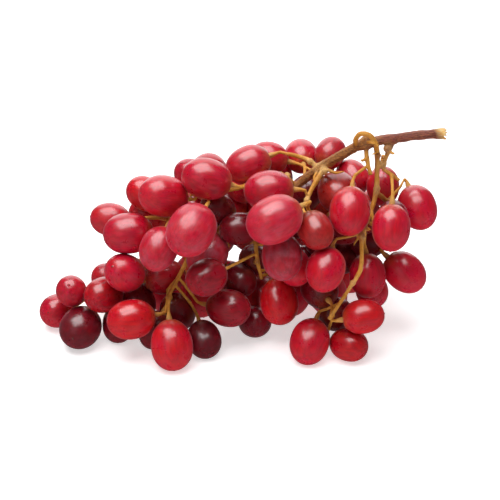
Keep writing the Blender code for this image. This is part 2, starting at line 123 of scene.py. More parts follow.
# Details of the stem that the solids leave out, in millimetres in the row frame.
# Swollen joints: the place, the radius and the paleness of each.
JOINTS = (
    (57.7, -0.4, 91.2, 2.5, 0.2),
    (68.5, -0.8, 91.4, 2.45, 0.0),
    (65.6, -2.2, 87.6, 1.7, 0.4),
    (63.8, -2.4, 80.0, 1.7, 0.6),
    (61.8, -2.6, 84.5, 1.4, 0.1),
    (56.6, -4.4, 83.6, 1.0, 0.1),
    (36.9, 4.9, 75.6, 2.2, 0.7),
    (33.0, 6.5, 77.6, 1.6, 1.0),
    (39.0, 1.0, 75.4, 1.8, 1.0),
    (22.8, 5.8, 71.0, 1.7, 0.7),
    (31.0, -9.8, 66.6, 1.5, 1.0),
    (61.8, -6.0, 70.2, 1.6, 0.6),
    (55.0, -18.0, 53.2, 1.6, 0.6),
    (51.0, -28.0, 35.5, 1.5, 0.6),
    (7.7, 2.9, 53.4, 1.7, 0.5),
)
# Side shoots: how wide each starts and ends, and the places along it.
SHOOTS = (
    (2.3, 2.3, ((52.4, 0.4, 87.6), (51.8, -2.4, 92.0), (53.6, -3.6, 95.0), (57.2, -4.2, 94.8),
                (60.2, -4.0, 91.2), (61.2, -3.2, 86.6))),
    (1.6, 0.7, ((56.6, -1.0, 90.0), (57.6, -4.6, 91.6), (60.6, -5.6, 90.6), (61.4, -5.0, 87.6),
                (59.0, -5.4, 86.2))),
    (1.4, 0.6, ((56.4, -4.4, 84.0), (55.0, -5.2, 83.2), (54.2, -5.0, 83.6))),
    (1.5, 0.9, ((65.8, -2.4, 87.4), (67.8, -3.6, 86.0), (68.8, -3.8, 86.2))),
    (1.6, 0.7, ((39.6, 1.4, 76.6), (43.6, -0.6, 75.4), (46.0, -1.6, 76.2), (47.6, -2.0, 76.6))),
    (1.5, 0.8, ((36.8, 4.0, 74.6), (34.6, -0.6, 73.6), (34.4, -2.2, 71.8))),
    (1.3, 0.7, ((53.6, -17.6, 52.8), (51.8, -19.6, 50.6), (51.4, -20.4, 49.8))),
)
SHOOT_STEPS = 6
ROD_SIDES = 10
ROD_OVERLAP = 0.25

# A collar is two cones on the stem end of a grape, a foot and a neck. The starts are counted outward
# from the skin. The neck's share is its widest radius against the collar's width.
COLLAR_SIDES = 12
COLLAR_FOOT_START = -0.6 * MM
COLLAR_FOOT_LENGTH = 1.7 * MM
COLLAR_NECK_START = 0.8 * MM
COLLAR_NECK_LENGTH = 2.6 * MM
COLLAR_NECK_SHARE = 0.42
STALK_RADIUS = 0.7 * MM

# The torn end. Each pair is the least and the most, in millimetres. The turn is in radians.
END_SLICE = 0.4 * MM
FIBRE_TURN = 0.2
FIBRE_RING = (1.2, 2.3)
FIBRE_RING_START = 0.85
FIBRE_ROOT = (2.0, 4.5)
FIBRE_REACH = (0.1, 1.5)
FIBRE_FLARE = (0.0, 0.7)
FIBRE_WIDTH = 1.3 * MM
FIBRE_TIP_WIDTH = 0.5 * MM

# How the stem's thickness is measured, in millimetres.
THICKNESS_SEARCH = 12
SKIN_DEPTH = 0.05
THIN = 1

# Where the stem's colours change, in millimetres. Each pair is the start and the width of the change.
WOODY_THICKNESS = (1.9, 1.4)
TORN_REACH = (2.2, 3.4)
RUDDY_PLACE = (55, 6)
COLLAR_PALENESS = 0.6
COLLAR_PALE_REACH = (0.75, 3)
JOINT_PALE_REACH = (0, 2.5)

# The bark's knobs and its finer grain. Each pair is the slowest and the fastest wave.
BARK_WAVES = 12
KNOB_WAVES = (0.5, 1.6)
GRAIN_WAVES = (2.5, 5.0)
GRAIN_SHARE = 0.4
SMOOTH_SHARE = 0.4

# The stage, in the row frame.
CAMERA_AIM = Vector((6.4, 1.7, 38.0)) * MM
CAMERA_AIM_BELOW = 1.85
LAMP_AIM = Vector((0, 0, 0.04))
FLOOR_BELOW = 0.05 * MM


class Grape:
    """One oval berry: where it is, which way it points and its half sizes."""

    def __init__(self, node, centre, axis, half_length, half_width):
        self.node = node
        self.centre = centre
        self.axis = axis
        self.half_length = half_length
        self.half_width = half_width
        self.seed = 0
        self.look = LEAST_LOOK

    def turn(self):
        """A matrix whose columns are the grape's own X, Y and Z, with Z along its length."""
        side = np.cross(self.axis, (0.31, 0.52, 0.79))
        side /= np.linalg.norm(side)
        return np.column_stack((side, np.cross(self.axis, side), self.axis))

    def half_sizes(self):
        return np.array((self.half_width, self.half_width, self.half_length))

    def stem_end(self):
        return self.centre - self.axis * self.half_length


def welded_mesh(node):
    """The points and faces of a CAD node, with points at one place counted once."""
    mesh = frame["nodes"][node].data
    points = np.array([vertex.co[:] for vertex in mesh.vertices], float)
    faces = np.array([face.vertices[:] for face in mesh.polygons])
    _, first, same = np.unique(
        points.round(6), axis=0, return_index=True, return_inverse=True
    )
    faces = same.reshape(-1)[faces]
    whole = (faces != np.roll(faces, 1, axis=1)).all(axis=1)
    return points[first], faces[whole]


def oval_through(points):
    """The ellipsoid through some points: its centre, long axis, radii and error."""
    middle = points.mean(axis=0)
    scale = np.abs(points - middle).max()
    x, y, z = ((points - middle) / scale).T
    terms = np.column_stack((x * x, y * y, z * z, 2 * y * z, 2 * x * z, 2 * x * y, 2 * x, 2 * y, 2 * z))
    found = np.linalg.lstsq(terms, np.ones(len(x)), rcond=None)[0]
    error = np.abs(terms @ found - 1).max()
    form = np.array(
        (
            (found[0], found[5], found[4]),
            (found[5], found[1], found[3]),
            (found[4], found[3], found[2]),
        )
    )
    if abs(np.linalg.det(form)) < SMALLEST_FORM:
        return None
    centre = -np.linalg.solve(form, found[6:])
    level = 1 + found[6:] @ np.linalg.solve(form, found[6:])
    sizes, axes = np.linalg.eigh(form / level)
    if sizes[0] <= 0:
        return None
    return centre * scale + middle, axes[:, 0], scale / np.sqrt(sizes), error


def is_oval(radii, error):
    return (
        error < PATCH_ERROR
        and abs(radii[0] / radii[1] - OVALNESS) < OVALNESS_SLACK
        and abs(radii[1] / radii[2] - 1) < OVALNESS_SLACK
    )


def grapes_in(node):
    """Finds the berries in one solid. A patch of points that lies on one berry gives it exactly."""
    points, faces = welded_mesh(node)
    beside = [set() for _ in points]
    for face in faces:
        for corner in face:
            beside[corner].update(face)
    fits = []
    for ring in beside:
        patch = sorted(set().union(*(beside[point] for point in ring)))
        patch = [point for point in patch if points[point][2] > TABLE_TOUCH]
        if len(patch) < PATCH_LEAST_POINTS:
            continue
        oval = oval_through(points[patch])
        if oval and is_oval(*oval[2:]):
            fits.append(oval)
    fits.sort(key=lambda oval: oval[3])
    grapes = []
    for centre, axis, radii, _ in fits:
        if all(np.linalg.norm(centre - other.centre) > SAME_GRAPE for other in grapes):
            grapes.append(Grape(node, centre, axis, radii[0], radii[1]))
    if not grapes:
        raise RuntimeError(f"no berry was found in {node}")
    grapes.sort(key=lambda grape: tuple(grape.centre.round(5)))
    return grapes


def find_all_grapes():
    """Every berry of the bunch, each pointing from its stalk to its tip."""
    stem_points = welded_mesh("stem")[0]
    grapes = []
    for node in sorted(frame["nodes"]):
        if node != "stem":
            grapes += grapes_in(node)
    for seed, grape in enumerate(grapes):
        grape.seed = seed
        along = grape.axis * grape.half_length
        gaps = [
            np.linalg.norm(stem_points - (grape.centre + side * along), axis=1).min() for side in (-1, 1)
        ]
        if gaps[1] < gaps[0]:
            grape.axis = -grape.axis
        dice = np.random.RandomState(seed)
        warmth, bloom, depth = dice.uniform(LEAST_LOOK, MOST_LOOK)
        # The dark grapes lie deep in the bunch: their skin is darkened further, partly a darker tone and
        # partly painted shade.
        if SLOT_OF_NODE[grape.node] == "dark_skin":
            bloom *= DARK_BLOOM_SHARE
            depth += DARK_TONE_AND_PAINTED_SHADE
        grape.look = LOOKS.get(grape.node, (warmth, bloom, depth))
    return grapes


# ---------------------------------------------------------------- shapes


def unit_ball(segments, rings):
    """A ball of radius 1 with its rings drawn together towards the poles."""
    ball = bmesh.new()
    bmesh.ops.create_uvsphere(ball, u_segments=segments, v_segments=rings, radius=1)
    points = np.array([vertex.co[:] for vertex in ball.verts])
    faces = [[vertex.index for vertex in face.verts] for face in ball.faces]
    ball.free()
    polar = np.arccos(np.clip(points[:, 2], -1, 1))
    polar -= POLE_CROWDING * np.sin(2 * polar)
    around = np.arctan2(points[:, 1], points[:, 0])
    points = np.column_stack(
        (np.sin(polar) * np.cos(around), np.sin(polar) * np.sin(around), np.cos(polar))
    )
    return points, faces


def ripple(directions, dice, count, least, most):
    """A smooth uneven swell over the directions, made of a few random waves."""
    total = np.zeros(len(directions))
    for _ in range(count):
        wave = dice.normal(size=3)
        wave *= dice.uniform(least, most) / np.linalg.norm(wave)
        total += np.sin(directions @ wave + dice.uniform(0, 2 * math.pi))
    return total / math.sqrt(count)


def grape_surface(grape, ball, sizes):
    """The grape's surface before its neighbours press on it, in the row frame."""
    dice = np.random.RandomState(SHAPE_SEED + grape.seed)
    along = ball[:, 2]
    ring = np.hypot(ball[:, 0], ball[:, 1])
    lean = dice.uniform(*LEAN_RANGE)
    full = sizes.growth * (1 + sizes.fullness * 4 * along**2 * (1 - along**2))
    swell = 1 + SWELL_SHARE * ripple(ball, dice, SWELL_WAVES, *SWELL_WAVE_RANGE)
    width = grape.half_width * full * (1 + lean * along) * swell
    length = grape.half_length * (1 + (sizes.growth - 1) * np.clip(along, 0, 1))
    local = np.column_stack((ball[:, 0] * width, ball[:, 1] * width, along * length))
    radius = ring * grape.half_width
    dimple = np.exp(-((radius / sizes.dimple_radius) ** 2))
    beyond = radius - SHOULDER_PLACE * sizes.dimple_radius
    shoulder = np.exp(-((beyond / sizes.dimple_radius) ** 2))
    local[:, 2] += np.where(along < 0, sizes.dimple_depth * (dimple - SHOULDER_SHARE * shoulder), 0)
    tip_hollow = np.exp(-((radius / TIP_HOLLOW_RADIUS) ** 2))
    tip_point = np.exp(-((radius / TIP_POINT_RADIUS) ** 2))
    tip = sizes.tip_depth * (tip_hollow - TIP_POINT_SHARE * tip_point)
    local[:, 2] -= np.where(along > 0, tip, 0)
    return local @ grape.turn().T + grape.centre


def soft_positive(value, softness):
    return softness * np.logaddexp(0, value / softness)


def press_together(points, grape, others, sizes):
    """Flattens the surface where the grapes beside it press, and where it lies on the table."""
    start = points.copy()
    for other in others:
        apart = np.linalg.norm(other.centre - grape.centre)
        if other is grape or apart > grape.half_length + other.half_length:
            continue
        turn, half = other.turn(), other.half_sizes()
        local = (points - other.centre) @ turn
        scaled = local / half
        size = np.linalg.norm(scaled, axis=1)
        distance = (size - 1) / size * np.linalg.norm(local, axis=1)
        outward = (scaled / half) @ turn.T
        outward /= np.linalg.norm(outward, axis=1)[:, None]
        push = soft_positive((sizes.gap - distance) / 2, sizes.softness)
        points = points + outward * push[:, None]
    points[:, 2] = soft_positive(points[:, 2], sizes.softness)
    return points, np.linalg.norm(points - start, axis=1)


def set_values(mesh, name, values):
    """Stores one number or vector for each point, for the material to read."""
    values = np.asarray(values, np.float32)
    if values.ndim == 2:
        mesh.attributes.new(name, "FLOAT_VECTOR", "POINT").data.foreach_set("vector", values.ravel())
    else:
        mesh.attributes.new(name, "FLOAT", "POINT").data.foreach_set("value", values)


def link(name, mesh, material=None):
    thing = bpy.data.objects.new(name, mesh)
    bpy.context.scene.collection.objects.link(thing)
    if material:
        mesh.materials.append(material)
    return thing


def shade_smooth(mesh):
    mesh.polygons.foreach_set("use_smooth", [True] * len(mesh.polygons))
    mesh.update()


def make_grapes(node, name, sizes):
    """One piece for one solid, with every berry of that solid in it."""
    ball, faces = unit_ball(sizes.segments, sizes.rings)
    points, all_faces = [], []
    values = {key: [] for key in ("along", "pressed", "place", "warmth", "bloom", "depth")}
    for grape in (grape for grape in GRAPES if grape.node == node):
        surface = grape_surface(grape, ball, sizes)
        surface, pressed = press_together(surface, grape, GRAPES, sizes)
        first = sum(len(part) for part in points)
        all_faces += [[first + corner for corner in face] for face in faces]
        points.append(surface)
        dice = np.random.RandomState(PATTERN_SEED + grape.seed)
        apart = dice.uniform(-PATTERN_SPREAD, PATTERN_SPREAD, 3)
        values["along"].append(ball[:, 2])
        values["pressed"].append(pressed / MM)
        values["place"].append(ball * grape.half_sizes() / MM + apart)
        for key, value in zip(("warmth", "bloom", "depth"), grape.look):
            values[key].append(np.full(len(ball), value))
    mesh = bpy.data.meshes.new(name)
    mesh.from_pydata(np.concatenate(points).tolist(), [], all_faces)
    for key, parts in values.items():
        set_values(mesh, key, np.concatenate(parts))
    shade_smooth(mesh)
    slot = SLOT_OF_NODE[node]
    piece = link(name, mesh, skin_material(slot))
    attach(piece, "root")
    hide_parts(node)
    return piece


# ---------------------------------------------------------------- materials


class Nodes:
    """Short ways to add shader nodes to one material."""

    def __init__(self, material):
        material.use_nodes = True
        self.tree = material.node_tree
        self.tree.nodes.clear()

    def add(self, kind, **inputs):
        node = self.tree.nodes.new(kind)
        for name, value in inputs.items():
            self.put(node.inputs[name.replace("_", " ")], value)
        return node

    def put(self, socket, value):
        if isinstance(value, bpy.types.NodeSocket):
            self.tree.links.new(value, socket)
        else:
            socket.default_value = value

    def value(self, name):
        node = self.tree.nodes.new("ShaderNodeAttribute")
        node.attribute_name = name
        return node.outputs["Fac"]

    def vector(self, name):
        node = self.tree.nodes.new("ShaderNodeAttribute")
        node.attribute_name = name
        return node.outputs["Vector"]

    def math(self, operation, first, second=0.0, third=0.0, clamp=False):
        node = self.tree.nodes.new("ShaderNodeMath")
        node.operation = operation
        node.use_clamp = clamp
        for socket, value in zip(node.inputs, (first, second, third)):
            self.put(socket, value)
        return node.outputs[0]

    def ramp(self, value, low, high, to_low=0.0, to_high=1.0):
        """Maps low..high smoothly to to_low..to_high."""
        node = self.tree.nodes.new("ShaderNodeMapRange")
        node.interpolation_type = "SMOOTHSTEP"
        for socket, setting in zip(node.inputs, (value, low, high, to_low, to_high)):
            self.put(socket, setting)
        return node.outputs[0]

    def mix(self, share, first, second):
        node = self.tree.nodes.new("ShaderNodeMix")
        node.data_type = "RGBA"
        self.put(node.inputs[0], share)
        self.put(node.inputs[6], first)
        self.put(node.inputs[7], second)
        return node.outputs[2]

    def stretch(self, vector, scale):
        node = self.tree.nodes.new("ShaderNodeMapping")
        self.put(node.inputs["Vector"], vector)
        node.inputs["Scale"].default_value = scale
        return node.outputs[0]

    def noise(self, vector, scale, detail=2.0, roughness=0.5, distortion=0.0):
        node = self.tree.nodes.new("ShaderNodeTexNoise")
        self.put(node.inputs["Vector"], vector)
        node.inputs["Scale"].default_value = scale
        node.inputs["Detail"].default_value = detail
        node.inputs["Roughness"].default_value = roughness
        node.inputs["Distortion"].default_value = distortion
        return node.outputs["Fac"]

    def dots(self, vector, scale):
        """The distance to the nearest of many scattered points."""
        node = self.tree.nodes.new("ShaderNodeTexVoronoi")
        self.put(node.inputs["Vector"], vector)
        node.inputs["Scale"].default_value = scale
        return node.outputs["Distance"]

    def bump(self, height, distance, strength, below=None):
        node = self.tree.nodes.new("ShaderNodeBump")
        node.inputs["Distance"].default_value = distance
        node.inputs["Strength"].default_value = strength
        self.put(node.inputs["Height"], height)
        if below:
            self.put(node.inputs["Normal"], below)
        return node.outputs[0]

    def finish(self, shader):
        output = self.tree.nodes.new("ShaderNodeOutputMaterial")
        self.tree.links.new(shader.outputs[0], output.inputs["Surface"])


def colour(*values):
    return (*values, 1.0)


def skin_material(slot):
    """Grape skin: translucent flesh colour, streaks, pale dots and a rubbed wax bloom."""
    name = f"grape_{slot}"
    if name in bpy.data.materials:
        return bpy.data.materials[name]
    material = bpy.data.materials.new(name)
    nodes = Nodes(material)
    settings = bpy.context.scene.skin_settings
    kind = slot.split("_")[0]
    cool, warm, deep, stalk = (
        getattr(settings, f"{kind}_{part}")[:] for part in ("cool", "warm", "deep", "stalk")
    )
    place, along = nodes.vector("place"), nodes.value("along")
    cloud = nodes.noise(place, 0.16, 3.0, 0.55)
    streak = nodes.noise(nodes.stretch(place, (1.1, 1.1, 0.16)), 0.8, 3.0, 0.6)
    warmth = nodes.math("ADD", nodes.value("warmth"), nodes.ramp(cloud, 0.3, 0.7, -0.35, 0.35), clamp=True)
    skin = nodes.mix(warmth, cool, warm)
    # Depth darkens the skin towards the deep colour; on the dark grapes deep in the bunch this is partly
    # painted shade.
    shade = nodes.math("ADD", nodes.value("depth"), nodes.ramp(streak, 0.35, 0.7, -0.15, 0.22), clamp=True)
    skin = nodes.mix(shade, skin, deep)
    reach = settings.amber_reach if kind == "amber" else settings.stalk_reach
    by_stalk = nodes.ramp(along, reach, -0.98)
    by_stalk = nodes.math("MULTIPLY", by_stalk, nodes.ramp(streak, 0.3, 0.62, 1.0, 0.3))
    skin = nodes.mix(by_stalk, skin, stalk)
    dot_here = nodes.ramp(nodes.dots(place, 0.75), 0.13, 0.04)
    dotted = nodes.ramp(nodes.noise(place, 0.35, 1.0), 0.45, 0.62)
    dot_here = nodes.math("MULTIPLY", dot_here, dotted)
    skin = nodes.mix(nodes.math("MULTIPLY", dot_here, 0.3), skin, settings.dots[:])
    skin = nodes.mix(nodes.ramp(along, 0.9985, 0.9996), skin, settings.scar[:])
    wax = nodes.noise(place, 0.20, 5.0, 0.6, 0.4)
    rubbed = nodes.noise(nodes.stretch(place, (1.0, 0.45, 1.0)), 0.45, 4.0, 0.7)
    bloom = nodes.ramp(wax, 0.36, 0.64, 0.1, 1.0)
    bloom = nodes.math("MULTIPLY", bloom, nodes.ramp(rubbed, 0.36, 0.56, 0.35, 1.0))
    bloom = nodes.math("MULTIPLY", bloom, nodes.value("bloom"))
    bloom = nodes.math("MULTIPLY", bloom, nodes.ramp(nodes.value("pressed"), 0.05, 0.4, 1.0, 0.3))
    skin = nodes.mix(nodes.math("MULTIPLY", bloom, settings.bloom_cover), skin, settings.bloom[:])
    matt = nodes.math("MINIMUM", bloom, 1.0)
    roughness = nodes.math("MULTIPLY_ADD", matt, 0.2, nodes.ramp(cloud, 0.3, 0.7, 0.24, 0.31))
    grain = nodes.noise(place, 3.2, 3.0, 0.6)
    height = nodes.bump(grain, 0.05 * MM, 0.3)
    height = nodes.bump(dot_here, 0.05 * MM, 0.4, height)
    height = nodes.bump(streak, 0.3 * MM, 0.25, height)
    shader = nodes.add(
        "ShaderNodeBsdfPrincipled",
        Base_Color=skin,
        Roughness=roughness,
        IOR=1.45,
        Subsurface_Weight=0.35,
        Subsurface_Radius=(1.0, 0.12, 0.10),
        Subsurface_Scale=3.5 * MM,
        Specular_IOR_Level=0.75,
        Coat_Weight=0.7,
        Coat_Roughness=0.2,
        Sheen_Weight=0.22,
        Sheen_Roughness=0.25,
        Sheen_Tint=colour(1.0, 0.66, 0.74),
        Normal=height,
    )
    nodes.finish(shader)
    return material


def stem_material():
    """Bark on the thick main stem, golden stalks, pale knots and a torn straw-coloured end."""
    material = bpy.data.materials.new("stalk_bark")
    nodes = Nodes(material)
    settings = bpy.context.scene.bark_settings
    place = nodes.vector("place")
    woody, cut, tip, ruddy = (nodes.value(name) for name in ("woody", "cut", "tip", "ruddy"))
    cloud = nodes.noise(place, 0.35, 4.0, 0.6)
    fibre = nodes.noise(nodes.stretch(place, (0.35, 1.6, 1.6)), 1.4, 4.0, 0.65)
    speckle = nodes.noise(place, 2.2, 3.0, 0.7)
    gold = nodes.mix(nodes.ramp(cloud, 0.3, 0.7), settings.gold_deep[:], settings.gold[:])
    gold = nodes.mix(nodes.ramp(speckle, 0.58, 0.75, 0.0, 0.6), gold, settings.fleck[:])
    brown = nodes.mix(nodes.ramp(fibre, 0.32, 0.68), settings.fleck[:], settings.brown[:])
    bark = nodes.mix(nodes.ramp(fibre, 0.3, 0.7), settings.bark_deep[:], settings.bark[:])
    patch = nodes.ramp(cloud, 0.42, 0.62, 0.25, -0.35)
    bark = nodes.mix(nodes.math("ADD", ruddy, patch, clamp=True), brown, bark)
    woody = nodes.math("ADD", woody, nodes.ramp(cloud, 0.3, 0.7, -0.2, 0.2), clamp=True)
    skin = nodes.mix(woody, gold, bark)
    pale = nodes.math("MULTIPLY", tip, nodes.ramp(speckle, 0.35, 0.6, 0.9, 0.45))
    skin = nodes.mix(pale, skin, settings.joint[:])
    straw = nodes.mix(nodes.ramp(fibre, 0.35, 0.65), settings.straw[:], settings.gold[:])
    skin = nodes.mix(cut, skin, straw)
    height = nodes.bump(fibre, 0.35 * MM, 0.7)
    height = nodes.bump(speckle, 0.2 * MM, 0.6, height)
    shader = nodes.add(
        "ShaderNodeBsdfPrincipled",
        Base_Color=skin,
        Roughness=nodes.ramp(fibre, 0.3, 0.7, 0.48, 0.72),
        IOR=1.45,
        Subsurface_Weight=0.1,
        Subsurface_Radius=(1.0, 0.5, 0.2),
        Subsurface_Scale=0.8 * MM,
        Sheen_Weight=0.05,
        Normal=height,
    )
    nodes.finish(shader)
    return material


def floor_material(glow):
    """A bright white table that is lit from below as well."""
    material = bpy.data.materials.new("pale_floor")
    nodes = Nodes(material)
    place = nodes.tree.nodes.new("ShaderNodeTexCoord").outputs["Object"]
    grain = nodes.noise(place, 40.0, 2.0)
    shader = nodes.add(
        "ShaderNodeBsdfPrincipled",
        Base_Color=nodes.mix(grain, colour(0.86, 0.86, 0.86), colour(0.88, 0.88, 0.88)),
        Roughness=0.9,
        Specular_IOR_Level=0.2,
        Emission_Color=colour(1.0, 1.0, 1.0),
        Emission_Strength=glow,
    )
    nodes.finish(shader)
    return material


# ---------------------------------------------------------------- the stem


def evaluated_copy(thing):
    """The object's mesh with its modifiers applied, as a new mesh."""
    bpy.context.view_layer.update()
    graph = bpy.context.evaluated_depsgraph_get()
    return bpy.data.meshes.new_from_object(thing.evaluated_get(graph))


def add_cone(shape, middle, along, length, radius_in, radius_out, sides):
    """A closed straight cone about its middle point, in metres."""
    lift = along.to_track_quat("Z", "Y").to_matrix().to_4x4()
    bmesh.ops.create_cone(
        shape,
        cap_ends=True,
        segments=sides,
        radius1=radius_in,
        radius2=radius_out,
        depth=length,
        matrix=Matrix.Translation(middle) @ lift,
    )


def add_collars(shape, sizes):
    """A flared collar on the end of each stalk, where it grows into its grape."""
    neck = COLLAR_NECK_SHARE * sizes.collar_width
    for grape in GRAPES:
        end, outward = Vector(grape.stem_end()), Vector(-grape.axis)
        for start, length, radius_in, radius_out in (
            (COLLAR_FOOT_START, COLLAR_FOOT_LENGTH, sizes.collar_width / 2, neck),
            (COLLAR_NECK_START, COLLAR_NECK_LENGTH, neck, STALK_RADIUS),
        ):
            middle = end + outward * (start + length / 2)
            add_cone(shape, middle, outward, length, radius_in, radius_out, COLLAR_SIDES)


def add_rod(shape, start, end, width_in, width_out):
    """A straight tapered rod between two points in metres."""
    along = Vector(end) - Vector(start)
    middle = (Vector(start) + Vector(end)) / 2
    add_cone(shape, middle, along, along.length, width_in / 2, width_out / 2, ROD_SIDES)


def smooth_path(places, steps):
    """Points along a curve that bends smoothly through the places."""
    places = np.array(places, float)
    ends = np.vstack((2 * places[0] - places[1], places, 2 * places[-1] - places[-2]))
    path = []
    for before, start, stop, after in zip(ends, ends[1:], ends[2:], ends[3:]):
        for t in np.arange(steps) / steps:
            bend = (2 * before - 5 * start + 4 * stop - after) * t**2
            bend = bend + (3 * start - before - 3 * stop + after) * t**3
            path.append(start + ((stop - before) * t + bend) / 2)
    return np.array(path + [places[-1]])


def add_shoots(shape):
    """Swollen joints, the looped knot, and the stubs and tendrils of side shoots."""
    for x, y, z, radius, _ in JOINTS:
        ball = bmesh.ops.create_icosphere(shape, subdivisions=2, radius=radius * MM)
        bmesh.ops.translate(shape, verts=ball["verts"], vec=Vector((x, y, z)) * MM)
    for width_in, width_out, places in SHOOTS:
        path = smooth_path(places, SHOOT_STEPS) * MM
        widths = np.linspace(width_in, width_out, len(path)) * MM
        for start, end, width, next_width in zip(path, path[1:], widths, widths[1:]):
            add_rod(shape, start, end + (end - start) * ROD_OVERLAP, width, next_width)


def add_torn_end(shape, points, sizes):
    """Frayed fibres and a ragged lip round the cut end of the main stem."""
    far = points[points[:, 0] > points[:, 0].max() - END_SLICE]
    middle = far.mean(axis=0)
    dice = np.random.RandomState(FIBRE_SEED)
    for number in range(sizes.fibres):
        angle = 2 * math.pi * number / sizes.fibres + dice.uniform(-FIBRE_TURN, FIBRE_TURN)
        spoke = np.array((0.0, math.cos(angle), math.sin(angle)))
        ring = dice.uniform(*FIBRE_RING) * MM
        root = np.array((dice.uniform(*FIBRE_ROOT) * MM, 0, 0))
        start = middle + spoke * ring * FIBRE_RING_START - root
        reach = np.array((dice.uniform(*FIBRE_REACH) * MM, 0, 0))
        end = middle + spoke * (ring + dice.uniform(*FIBRE_FLARE) * MM) + reach
        add_rod(shape, start, end, FIBRE_WIDTH, FIBRE_TIP_WIDTH)


def make_stem(sizes):
    """The main stem with its branches and stalks, as one grown-together skin."""
    points, faces = welded_mesh("stem")
    shape = bmesh.new()
    corners = [shape.verts.new(point) for point in points]
    for face in faces:
        shape.faces.new([corners[corner] for corner in face])
    add_collars(shape, sizes)
    add_shoots(shape)
    add_torn_end(shape, points, sizes)
    mesh = bpy.data.meshes.new("stem_draft")
    shape.to_mesh(mesh)
    shape.free()
    draft = link("stem_draft", mesh)
    remesh = draft.modifiers.new("grow together", "REMESH")
    remesh.mode = "VOXEL"
    remesh.voxel_size = sizes.voxel
    smooth = draft.modifiers.new("round off", "SMOOTH")
    smooth.factor = 0.5
    smooth.iterations = sizes.smoothing
    fewer = draft.modifiers.new("fewer faces", "DECIMATE")
    fewer.ratio = sizes.kept_faces
    grown = evaluated_copy(draft)
    bpy.data.objects.remove(draft)
    piece = link("stalks_and_main_stem", grown, stem_material())
    dress_stem(grown, sizes)
    shade_smooth(grown)
    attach(piece, "root")
    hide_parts("stem")
    return piece


def rise(values, start, width):
    """From 0 at the start to 1 a width further on."""
    return np.clip((values - start) / width, 0, 1)


def thickness(points, normals, mesh, sizes):
    """How thick the stem is under each point, in millimetres and blurred along the skin."""
    count = len(points)
    tree = BVHTree.FromPolygons(points.tolist(), [face.vertices[:] for face in mesh.polygons])
    thick = np.zeros(count)
    for number in range(count):
        inward = Vector(-normals[number])
        start = Vector(points[number]) + inward * SKIN_DEPTH * MM
        hit = tree.ray_cast(start, inward, THICKNESS_SEARCH * MM)
        thick[number] = hit[3] or THIN * MM
    edges = np.array([edge.vertices[:] for edge in mesh.edges])
    near = np.maximum(np.bincount(edges.ravel(), minlength=count), 1)
    for _ in range(sizes.blur):
        total = np.bincount(edges[:, 0], thick[edges[:, 1]], count)
        total += np.bincount(edges[:, 1], thick[edges[:, 0]], count)
        thick = 0.5 * thick + 0.5 * total / near
    return thick / MM


def paleness(places):
    """How pale the stem is at each place, for collars and swollen joints."""
    pale = np.zeros(len(places))
    for grape in GRAPES:
        away = np.linalg.norm(places - grape.stem_end() / MM, axis=1)
        pale = np.maximum(pale, COLLAR_PALENESS * (1 - rise(away, *COLLAR_PALE_REACH)))
    for x, y, z, radius, share in JOINTS:
        away = np.linalg.norm(places - (x, y, z), axis=1) - radius
        pale = np.maximum(pale, share * (1 - rise(away, *JOINT_PALE_REACH)))
    return pale


def dress_stem(mesh, sizes):
    """Roughens the stem a little and marks its cut end and where it is woody."""
    count = len(mesh.vertices)
    points = np.empty(count * 3, np.float32)
    normals = np.empty(count * 3, np.float32)
    mesh.vertices.foreach_get("co", points)
    mesh.vertices.foreach_get("normal", normals)
    points, normals = points.reshape(-1, 3).astype(float), normals.reshape(-1, 3).astype(float)
    woody = rise(thickness(points, normals, mesh, sizes), *WOODY_THICKNESS)
    end = points[np.argmax(points[:, 0])]
    cut = 1 - rise(np.linalg.norm(points - end, axis=1) / MM, *TORN_REACH)
    ruddy = rise(points[:, 0] / MM, *RUDDY_PLACE)
    tip = paleness(points / MM)
    dice = np.random.RandomState(BARK_SEED)
    knobs = ripple(points / MM, dice, BARK_WAVES, *KNOB_WAVES)
    grain = ripple(points / MM, dice, BARK_WAVES, *GRAIN_WAVES)
    rough = sizes.roughness / MM * (SMOOTH_SHARE + (1 - SMOOTH_SHARE) * woody)
    points += normals * (MM * rough * (knobs + GRAIN_SHARE * grain))[:, None]
    points[:, 2] = np.maximum(points[:, 2], TABLE_LEAST)
    mesh.vertices.foreach_set("co", points.astype(np.float32).ravel())
    marks = {"woody": woody, "cut": cut, "tip": tip, "ruddy": ruddy, "place": points / MM}
    for name, values in marks.items():
        set_values(mesh, name, values)


# ---------------------------------------------------------------- settings


def count_property(name, description, default, least=0):
    return bpy.props.IntProperty(name=name, description=description, default=default, min=least)


def number_property(name, description, default):
    return bpy.props.FloatProperty(name=name, description=description, default=default)


def length_property(name, description, default):
    return bpy.props.FloatProperty(name=name, description=description, default=default, unit="LENGTH")


def colour_property(name, description, *values):
    return bpy.props.FloatVectorProperty(
        name=name, description=description, default=colour(*values), size=4, subtype="COLOR", min=0, max=1
    )


class GrapeSettings(bpy.types.PropertyGroup):
    """What a user would change on the grapes."""

    segments: count_property("Segments", "Faces round each grape", 40, 12)
    rings: count_property("Rings", "Faces from stalk to tip", 40, 12)
    fullness: number_property("Fullness", "How much plumper than an ellipsoid the shoulders are", 0.03)
    dimple_depth: length_property("Dimple depth", "Depth of the hollow round the stalk", 0.7 * MM)
    dimple_radius: length_property("Dimple radius", "Radius of the hollow round the stalk", 1.5 * MM)
    tip_depth: length_property("Tip depth", "Depth of the hollow round the flower scar", 0.22 * MM)
    growth: number_property("Growth", "Width of the grapes against the solids they stand for", 1.025)
    gap: length_property("Gap", "Room left between grapes that press on each other", 0.06 * MM)
    softness: length_property("Softness", "How gradually a pressed skin turns flat", 0.12 * MM)


